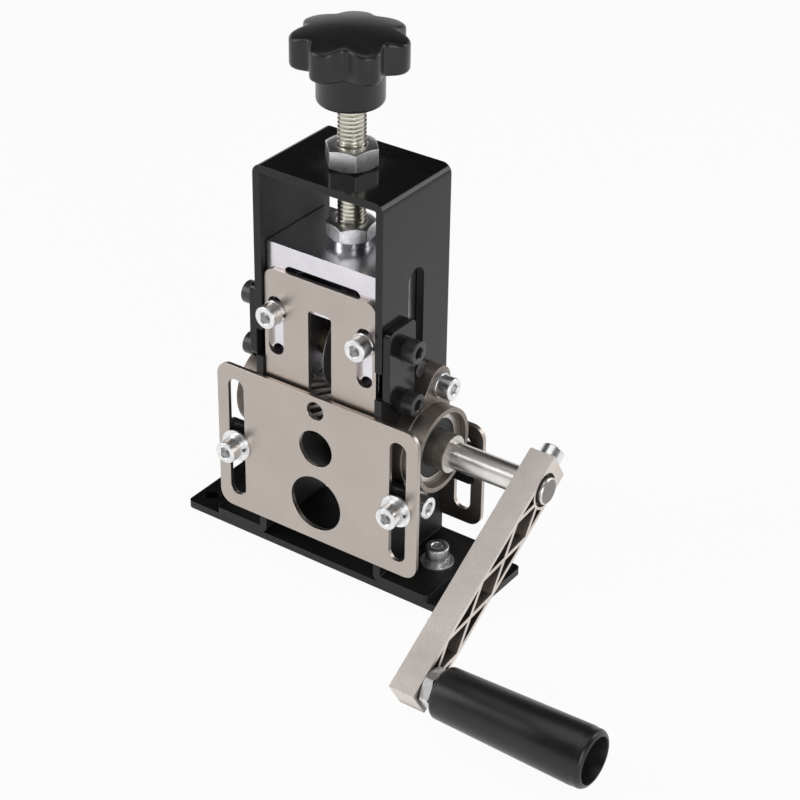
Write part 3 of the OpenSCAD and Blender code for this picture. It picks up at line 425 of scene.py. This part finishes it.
def build(node, solids, draw, *sizes, bevel=0.0):
    """Makes the piece of a CAD node: draw adds the shape of one solid at its place."""
    shape = Shape()
    for place, size in solids:
        draw(shape, place, size, *sizes)
    shape.piece(node, bevel)


# Fasteners

PLAY = 0.05 * MM

SCREW_D = 5 * MM
SCREW_PITCH = 0.8 * MM
SCREW_STEPS = 20
HEAD_H = 5 * MM
HEAD_EDGE = 0.45 * MM
SEAT_EDGE = 0.15 * MM
SOCKET_ACROSS = 4 * MM
SOCKET_DEPTH = 2.6 * MM
# The socket's round mouth: how much wider than its corners it is, and how deep. Then the
# depth where the hexagon starts, and that of the cone in its floor
SOCKET_EDGE = 0.12 * MM
SOCKET_ROUND = 0.1 * MM
SOCKET_START = 0.32 * MM
SOCKET_POINT = 0.4 * MM

# Which way each row of screws has its heads
crank_clamp_way = joint_at["crank_turn"] - joint_at["grip_spin"]
crank_clamp_way.x = 0
WAYS = {
    "foot_screws": (0, 0, 1),
    "front_guide_screws": (0, -1, 0),
    "rear_guide_screws": (0, 1, 0),
    "upper_screws": (0, -1, 0),
    "crank_clamp_screw": crank_clamp_way,
}
# These rows stand on both sides, with their heads away from the middle of the object
TWO_SIDED = ("bearing_bolts", "side_plate_screws")


def two_sided(node):
    """The places of a node's screws on both sides of the object, with their heads outwards."""
    return [(place, size) for way in ((1, 0, 0), (-1, 0, 0)) for place, size in places(node, way)
            if (place @ Vector((0, 0, size.z))).x * way[0] > 0]


def cap_screw(shape, place, size):
    """A socket cap screw whose point is at the place."""
    head = size.x / 2
    length = size.z - HEAD_H
    socket = hexagon(SOCKET_ACROSS)
    mouth = SOCKET_ACROSS / 2 / math.cos(math.radians(CORNER))
    top = size.z
    rings = [(0, length), (head - SEAT_EDGE, length), (head, length + SEAT_EDGE)]
    rings += arc(head - HEAD_EDGE, top - HEAD_EDGE, HEAD_EDGE, 0, 90)
    rings += [(mouth + SOCKET_EDGE, top), (mouth, top - SOCKET_ROUND),
              (socket, top - SOCKET_START), (socket, top - SOCKET_DEPTH),
              (0, top - SOCKET_DEPTH - SOCKET_POINT)]
    shape.turn(rings, place, HEXAGON)
    shape.thread(SCREW_D / 2, SCREW_PITCH, length + SEAT_EDGE, place, SCREW_STEPS)


for node, way in WAYS.items():
    build(node, places(node, way), cap_screw)
for node in TWO_SIDED:
    build(node, two_sided(node), cap_screw)

# Angle on each side of a spring washer's gap, and how far the gap turns over its height
GAP_TURN = math.radians(9)
GAP_SLANT = math.radians(7)
WASHER_PLAY = 4 * PLAY
WASHER_EDGE = 0.12 * MM
WASHER_STEPS = 40
SPRING_WASHERS = {
    "foot_spring_washers": (0, 0, 1),
    "bearing_bolt_washers": (1, 0, 0),
    "front_spring_washers": (0, -1, 0),
    "rear_spring_washers": (0, 1, 0),
    "upper_spring_washers": (0, -1, 0),
}


def spring_washer(shape, place, size):
    """A split ring with a slanted gap."""
    edge = WASHER_EDGE
    outer, inner = max(size.x, size.y) / 2, SCREW_D / 2 + WASHER_PLAY
    angles = [GAP_TURN + (TAU - 2 * GAP_TURN) * i / WASHER_STEPS for i in range(WASHER_STEPS + 1)]
    corners = [(inner, edge), (inner + edge, 0), (outer - edge, 0), (outer, edge),
               (outer, size.z - edge), (outer - edge, size.z), (inner + edge, size.z),
               (inner, size.z - edge)]
    rings = [(radius, height, GAP_SLANT * (height / size.z - 0.5)) for radius, height in corners]
    shape.turn(rings, place, angles, around=False, closed=True)


for node, way in SPRING_WASHERS.items():
    build(node, places(node, way), spring_washer)

STUD_D = 10 * MM
STUD_PITCH = 1.5 * MM
HANDLE_BOLT_D = 8 * MM
# Radius of the cone that cuts a nut's corners, as a share of its flats', and its slope
NUT_CONE = 0.95
NUT_SLOPE = math.tan(math.radians(27))
NUT_LEAD = 0.5 * MM
NUT_EDGE = 0.12 * MM
# Axis, width across flats, thread and the direction of a corner in degrees of each nut
NUTS = {
    "top_nut": ((0, 0, 1), 17 * MM, STUD_D, 14.4),
    "lower_nut": ((0, 0, 1), 16 * MM, STUD_D, 41.4),
    "pocket_nut": ((0, 0, 1), 16 * MM, STUD_D, 41.4),
    "handle_nut": ((1, 0, 0), 13 * MM, HANDLE_BOLT_D, 31.5),
}


def hex_nut(shape, place, size, across, thread, corner):
    """A hexagon nut with a cone cut off both its ends."""
    side = hexagon(across)
    bore = thread / 2 + PLAY
    cone = across / 2 * NUT_CONE
    turn = math.radians(corner - CORNER)
    top = size.z

    def high(angle):
        return top - (side(angle) - cone) * NUT_SLOPE

    def low(angle):
        return (side(angle) - cone) * NUT_SLOPE

    rings = [(bore, NUT_LEAD), (bore, top - NUT_LEAD), (bore + NUT_LEAD, top), (cone, top),
             (side, high), (side, low), (cone, 0), (bore + NUT_LEAD, 0)]
    rings = [(radius, height, turn) for radius, height in rings]
    shape.turn(rings, place, HEXAGON, closed=True)


for node, (way, *sizes) in NUTS.items():
    build(node, places(node, way), hex_nut, *sizes, bevel=NUT_EDGE)


def stud(shape, place, size):
    shape.thread(STUD_D / 2, STUD_PITCH, size.z, place)


build("adjusting_stud", places("adjusting_stud", (0, 0, 1)), stud)


# Knob

KNOB_HEAD_H = 13.5 * MM
KNOB_EDGE = 1.3 * MM
KNOB_BORE_DEPTH = 15 * MM
LOBES = 7
LOBE_R = 20.5 * MM
LOBE_TURN = math.radians(16.1)
LOBE_STEPS = 24
# Depth of the valleys between the lobes, and how narrow they are
VALLEY = 4.4 * MM
VALLEY_POWER = 1.5
HUB_R = 11.8 * MM
HUB_EDGE = 1.8 * MM
# Where the hub widens into the head: how much wider it is, and how far below the head
HUB_FLARE = ((0, 0.8 * MM), (0.25 * MM, 0.2 * MM), (0.9 * MM, 0))
# Height and radius of the domed top, and its rings as shares of the way out from its middle
DOME = 3 * MM
DOME_R = (LOBE_R ** 2 + DOME ** 2) / (2 * DOME)
DOME_RINGS = (0.9, 0.75, 0.55, 0.3, 0.1, 0)


def knob(shape, place, size):
    """A lobed head with a domed top on a round hub, with a blind bore from below."""
    top = size.z
    under = top - KNOB_HEAD_H
    bore = STUD_D / 2 + PLAY

    def lobe(angle):
        wave = (1 - math.cos(LOBES * (angle - LOBE_TURN))) / 2
        return LOBE_R - VALLEY * wave ** VALLEY_POWER

    def inside(reach):
        return lambda angle: lobe(angle) - reach

    def dome(radius):
        """Height of the domed top at a radius."""
        return top - DOME_R + math.sqrt(DOME_R ** 2 - radius ** 2)

    rings = [(0, KNOB_BORE_DEPTH), (bore, KNOB_BORE_DEPTH), (bore, 0)]
    rings += arc(HUB_R - HUB_EDGE, HUB_EDGE, HUB_EDGE, -90, 0)
    rings += [(HUB_R + wider, under - below) for wider, below in HUB_FLARE]
    for radius, height in arc(0, 0, KNOB_EDGE, -90, 0, steps=5):
        rings.append((inside(KNOB_EDGE - radius), under + KNOB_EDGE + height))
    for radius, height in arc(0, 0, KNOB_EDGE, 0, 90, steps=5):
        def rim(angle, reach=KNOB_EDGE - radius, height=height):
            return dome(lobe(angle) - reach) - KNOB_EDGE + height
        rings.append((inside(KNOB_EDGE - radius), rim))
    for share in DOME_RINGS:
        def radius(angle, share=share):
            return (lobe(angle) - KNOB_EDGE) * share
        rings.append((radius, lambda angle, radius=radius: dome(radius(angle))))
    shape.turn(rings, place, circle(LOBES * LOBE_STEPS))


build("knob", places("knob", (0, 0, 1)), knob)


# Feed roller

TEETH = 22
TOOTH_DEPTH = 0.9 * MM
# How narrow the teeth are
TOOTH_POWER = 2.2
TOOTH_SLANT = math.radians(32)
TOOTH_STEPS = 8
TOOTH_ROWS = 16
ROLLER_EDGE = 0.3 * MM
ROLLER_HUB_R = 9 * MM
ROLLER_HUB_W = 6.5 * MM
ROLLER_HUB_EDGE = 0.4 * MM
SHAFT_R = 5 * MM


def roller(shape, place, size):
    """A drum with slanted teeth that end short of its faces, behind a round hub."""
    outer = max(size.x, size.y) / 2
    root = outer - TOOTH_DEPTH
    bore = SHAFT_R + PLAY
    low, high = ROLLER_HUB_W, size.z

    def tooth(angle):
        wave = (1 + math.cos(TEETH * angle)) / 2
        return root + TOOTH_DEPTH * wave ** TOOTH_POWER

    rings = [(bore, 0), (ROLLER_HUB_R - ROLLER_HUB_EDGE, 0), (ROLLER_HUB_R, ROLLER_HUB_EDGE),
             (ROLLER_HUB_R, low), (root - ROLLER_EDGE, low), (root, low + ROLLER_EDGE)]
    for i in range(TOOTH_ROWS + 1):
        height = low + TOOTH_DEPTH + (high - low - 2 * TOOTH_DEPTH) * i / TOOTH_ROWS
        rings.append((tooth, height, -(height - low) * math.tan(TOOTH_SLANT) / outer))
    rings += [(root, high - ROLLER_EDGE), (root - ROLLER_EDGE, high), (bore, high)]
    shape.turn(rings, place, circle(TEETH * TOOTH_STEPS), closed=True)


build("feed_roller", places("feed_roller", (1, 0, 0)), roller)


# Handle grip

# Radius at the crank's side and at the open end
GRIP_R0, GRIP_R1 = 9.3 * MM, 10.6 * MM
GRIP_EDGE = 2 * MM
GRIP_BORE = 4.05 * MM
GRIP_STEPS = 72
# Where the rings of the wall lie, as shares of the length
GRIP_RINGS = (0.3, 0.6)
# Distance of the groove from the open end, length of its near side, and its two depths
GROOVE_PLACE = 4.2 * MM
GROOVE_SIDE = 0.3 * MM
GROOVE_STEP, GROOVE_DEPTH = 0.12 * MM, 0.2 * MM
# Radius of the rim behind the mouth, how far it stands back, and its arc in degrees
RIM = 2.2 * MM
RIM_BACK = 0.25 * MM
RIM_ARC = 80
MOUTH_R = 8.2 * MM
MOUTH_DEPTH = 22 * MM
# Edge of the mouth: how much wider it is, and how far behind the end
MOUTH_EDGE = ((0.2 * MM, 0.1 * MM), (0, 0.5 * MM))


def grip(shape, place, size):
    """A tapered grip on its bolt, with a groove and a round rim at its open end."""
    end = size.z
    groove = end - GROOVE_PLACE
    slope = (GRIP_R1 - GRIP_R0) / (end - GRIP_EDGE)

    def wall(height):
        return GRIP_R0 + slope * (height - GRIP_EDGE)

    rings = [(GRIP_BORE, 0)]
    rings += arc(GRIP_R0 - GRIP_EDGE, GRIP_EDGE, GRIP_EDGE, -90, 0, steps=6)
    rings += [(wall(end * share), end * share) for share in GRIP_RINGS]
    rings += [(wall(groove - GROOVE_SIDE), groove - GROOVE_SIDE),
              (wall(groove) - GROOVE_STEP, groove),
              (wall(groove) - GROOVE_DEPTH, groove + GROOVE_SIDE)]
    rings += arc(GRIP_R1 - RIM_BACK - RIM, end - RIM, RIM, 0, RIM_ARC, steps=6)
    rings += [(MOUTH_R + wider, end - below) for wider, below in MOUTH_EDGE]
    rings += [(MOUTH_R, end - MOUTH_DEPTH), (GRIP_BORE, end - MOUTH_DEPTH)]
    shape.turn(rings, place, circle(GRIP_STEPS), closed=True)


build("handle_grip", places("handle_grip", (1, 0, 0)), grip)


# The solids whose shape is right get rounded edges and their material

# Width of their rounded edges in millimetres, and of the edges of those not named
EDGES = {
    "frame": 0.4, "base_plate": 0.4, "bearing_housing_left": 0.6, "bearing_housing_right": 0.6,
    "front_guide_plate": 0.25, "rear_guide_plate": 0.25, "upper_guide_plate": 0.25,
    "side_plate_left": 0.3, "side_plate_right": 0.3, "slider_block": 0.3, "crank_arm": 0.35,
}
FINE_EDGE = 0.15

# The axle is darker than the other ground steel
OWN = {
    "blade_axle": finish("dark_axle", (0.10, 0.095, 0.095), (0.06, 0.057, 0.057), 0.8, (0.3, 0.42),
                         patch=3 * MM, grain=0.2 * MM, mottle=0.4, edge=(0.3, 0.29, 0.28)),
}

for name, solid in nodes.items():
    if solid.hide_render:
        continue
    mesh = solid.data
    if "custom_normal" in mesh.attributes:
        mesh.attributes.remove(mesh.attributes["custom_normal"])
    mesh.shade_smooth()
    mesh.materials.clear()
    mesh.materials.append(OWN.get(name) or MATERIALS[slot_of[name]])
    weld = solid.modifiers.new("weld", "WELD")
    weld.merge_threshold = MERGE
    merge = solid.modifiers.new("flat_faces", "DECIMATE")
    merge.decimate_type = "DISSOLVE"
    merge.angle_limit = FLAT
    round_edges(solid, EDGES.get(name, FINE_EDGE) * MM)


# Stage, light and camera

FLOOR_Z = -0.2 * MM
FLOOR_SIZE = 6.0
FLOOR_LEVEL = 0.86
FLOOR_ROUGH = 0.9
# How white the camera sees the floor: the rest of it shows the shadows
FLOOR_WHITE = 0.94
# The painted shade sheet under the base plate: its height, its inset from the plate's edges, and
# its brightness
SHADE_Z = -0.1 * MM
SHADE_INSET = 1.5 * MM
SHADE_LEVEL = 0.01
# Height and brightness in the room, from the horizon (0) to straight up (1)
ROOM = ((0.0, 0.9), (0.20, 0.8), (0.27, 0.03), (0.75, 0.02), (1.0, 0.15))


def ground(name, width, depth, height, graph):
    """A flat sheet of the stage, centred under the object."""
    mesh = bpy.data.meshes.new(name)
    corners = [(x * width / 2, y * depth / 2, height)
               for x, y in ((-1, -1), (1, -1), (1, 1), (-1, 1))]
    mesh.from_pydata(corners, [], [(0, 1, 2, 3)])
    made = bpy.data.objects.new(name, mesh)
    bpy.context.scene.collection.objects.link(made)
    mesh.materials.append(graph.material)


def shade():
    """A painted shade: a dark sheet between the base plate and the floor, seen through the bench
    holes.
    """
    graph = Graph("shade")
    graph.shader.inputs["Base Color"].default_value = grey(SHADE_LEVEL)
    graph.shader.inputs["Roughness"].default_value = 1.0
    size = places("base_plate", (0, 0, 1))[0][1]
    ground("shade", size.x - 2 * SHADE_INSET, size.y - 2 * SHADE_INSET, SHADE_Z, graph)


def floor():
    """A pale floor that shows white to the camera and in metal, and keeps a light shadow."""
    graph = Graph("floor")
    graph.shader.inputs["Base Color"].default_value = grey(FLOOR_LEVEL)
    graph.shader.inputs["Roughness"].default_value = FLOOR_ROUGH
    white = graph.node("ShaderNodeEmission", {"Color": grey(1), "Strength": 1.0}).outputs[0]
    path = graph.node("ShaderNodeLightPath").outputs
    in_view = graph.times(path["Is Camera Ray"], FLOOR_WHITE)
    share = graph.node("ShaderNodeMath", {0: in_view, 1: path["Is Glossy Ray"]},
                       operation="MAXIMUM").outputs[0]
    both = graph.node("ShaderNodeMixShader", {0: share, 1: graph.shader.outputs[0], 2: white})
    graph.put(graph.tree.nodes["Material Output"].inputs["Surface"], both.outputs[0])
    ground("floor", FLOOR_SIZE, FLOOR_SIZE, FLOOR_Z, graph)


def world():
    """A white low backdrop round the object, under a dim room; the camera sees it white."""
    made = bpy.data.worlds.new("studio")
    made.use_nodes = True
    bpy.context.scene.world = made
    tree = made.node_tree
    background = tree.nodes["Background"]
    place = tree.nodes.new("ShaderNodeTexCoord")
    split = tree.nodes.new("ShaderNodeSeparateXYZ")
    tree.links.new(place.outputs["Generated"], split.inputs[0])
    ramp = tree.nodes.new("ShaderNodeValToRGB")
    elements = ramp.color_ramp.elements
    while len(elements) < len(ROOM):
        elements.new(0.5)
    for element, (height, level) in zip(elements, ROOM):
        element.position = height
        element.color = grey(level)
    tree.links.new(split.outputs["Z"], ramp.inputs[0])
    path = tree.nodes.new("ShaderNodeLightPath")
    mix = tree.nodes.new("ShaderNodeMix")
    mix.data_type = "RGBA"
    tree.links.new(path.outputs["Is Camera Ray"], mix.inputs[0])
    tree.links.new(ramp.outputs[0], mix.inputs[6])
    mix.inputs[7].default_value = grey(1)
    tree.links.new(mix.outputs[2], background.inputs["Color"])
    background.inputs["Strength"].default_value = 1.0


# What the soft lights aim at
LIGHT_AIM = Vector((0, 0, 0.1))
# Where each of them stands, its size and its power
LIGHTS = {
    "overhead": ((0.05, -0.1, 1.0), (0.8, 0.8), 2.5),
    "right_back": ((0.75, 0.85, 0.62), (0.5, 0.6), 3),
    "left_front": ((-0.9, -0.8, 0.75), (0.6, 0.8), 6),
    "right_front": ((1.1, -0.7, 0.5), (0.4, 0.8), 5),
}


def light(name, place, size, power):
    lamp = bpy.data.lights.new(name, "AREA")
    lamp.shape = "RECTANGLE"
    lamp.size, lamp.size_y = size
    lamp.energy = power
    made = bpy.data.objects.new(name, lamp)
    made.location = place
    made.rotation_euler = (LIGHT_AIM - Vector(place)).to_track_quat("-Z", "Y").to_euler()
    bpy.context.scene.collection.objects.link(made)


# The camera that fits the photo: its place, its turn from straight in front of the object,
# how far it looks down and its roll, then its lens in millimetres
CAMERA_PLACE = (0.413074, -0.561573, 0.489063)
CAMERA_TURN = math.radians(34.894)
CAMERA_DROP = math.radians(31.532)
CAMERA_ROLL = math.radians(0.878)
FOCAL_LENGTH = 101.84
SENSOR_WIDTH = 36
CLIP_START = 0.01


def camera():
    lens = bpy.data.cameras.new("camera")
    lens.lens = FOCAL_LENGTH
    lens.sensor_width = SENSOR_WIDTH
    lens.clip_start = CLIP_START
    made = bpy.data.objects.new("camera", lens)
    turn = Matrix.Rotation(CAMERA_TURN, 4, "Z") @ Matrix.Rotation(TAU / 4 - CAMERA_DROP, 4, "X")
    made.matrix_world = (Matrix.Translation(CAMERA_PLACE) @ turn
                         @ Matrix.Rotation(CAMERA_ROLL, 4, "Z"))
    bpy.context.scene.collection.objects.link(made)
    bpy.context.scene.camera = made


floor()
shade()
world()
for name, (place, size, power) in LIGHTS.items():
    light(name, place, size, power)
camera()
bpy.context.scene.view_settings.view_transform = "Standard"
